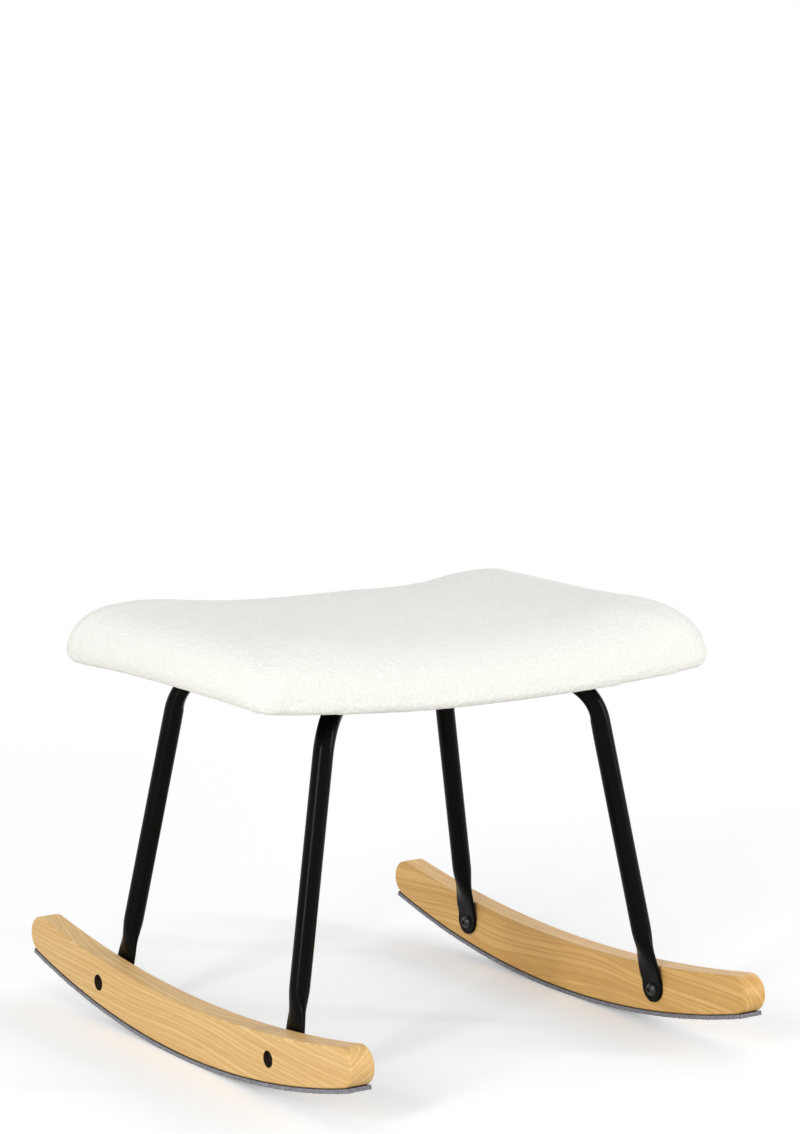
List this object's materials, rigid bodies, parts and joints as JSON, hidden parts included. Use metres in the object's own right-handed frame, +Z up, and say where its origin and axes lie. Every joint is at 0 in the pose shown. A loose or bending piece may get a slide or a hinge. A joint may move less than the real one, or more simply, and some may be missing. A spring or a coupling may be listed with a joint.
{
  "type": "rocking footstool",
  "caption": "Rocking footstool: saddle-shaped pile-fabric seat on two splayed black tube frames, bolted to curved oak rockers with felt soles.",
  "frame": {"origin": "on the floor, under the middle of the footstool", "axes": "+X along the seat's length to the right, -Y to the front along the rockers, +Z up"},
  "size_m": [0.528, 0.6226, 0.4325],
  "materials": {
    "pile_fabric": "matte",
    "foam": "matte",
    "plywood": "matte",
    "lining_cloth": "matte",
    "black_steel": "satin",
    "dark_steel": "satin",
    "zinc_steel": "satin",
    "oak": "satin",
    "felt": "matte",
    "adhesive": "matte"
  },
  "bodies": {
    "root": {"seat_cover": "pile_fabric", "foam_pad": "foam", "seat_board": "plywood", "lining": "lining_cloth", "staples": "zinc_steel", "front_leg_frame": "black_steel", "rear_leg_frame": "black_steel", "left_rocker": "oak", "right_rocker": "oak", "left_felt": "felt", "right_felt": "felt", "left_film": "adhesive", "right_film": "adhesive", "bolt_front_left": "black_steel", "bolt_front_right": "black_steel", "bolt_rear_left": "black_steel", "bolt_rear_right": "black_steel", "sleeve_front_left": "dark_steel", "sleeve_front_right": "dark_steel", "sleeve_rear_left": "dark_steel", "sleeve_rear_right": "dark_steel", "seat_bolt_front_left": "black_steel", "seat_bolt_front_right": "black_steel", "seat_bolt_rear_left": "black_steel", "seat_bolt_rear_right": "black_steel", "insert_front_left": "zinc_steel", "insert_front_right": "zinc_steel", "insert_rear_left": "zinc_steel", "insert_rear_right": "zinc_steel"}
  },
  "joints": []
}
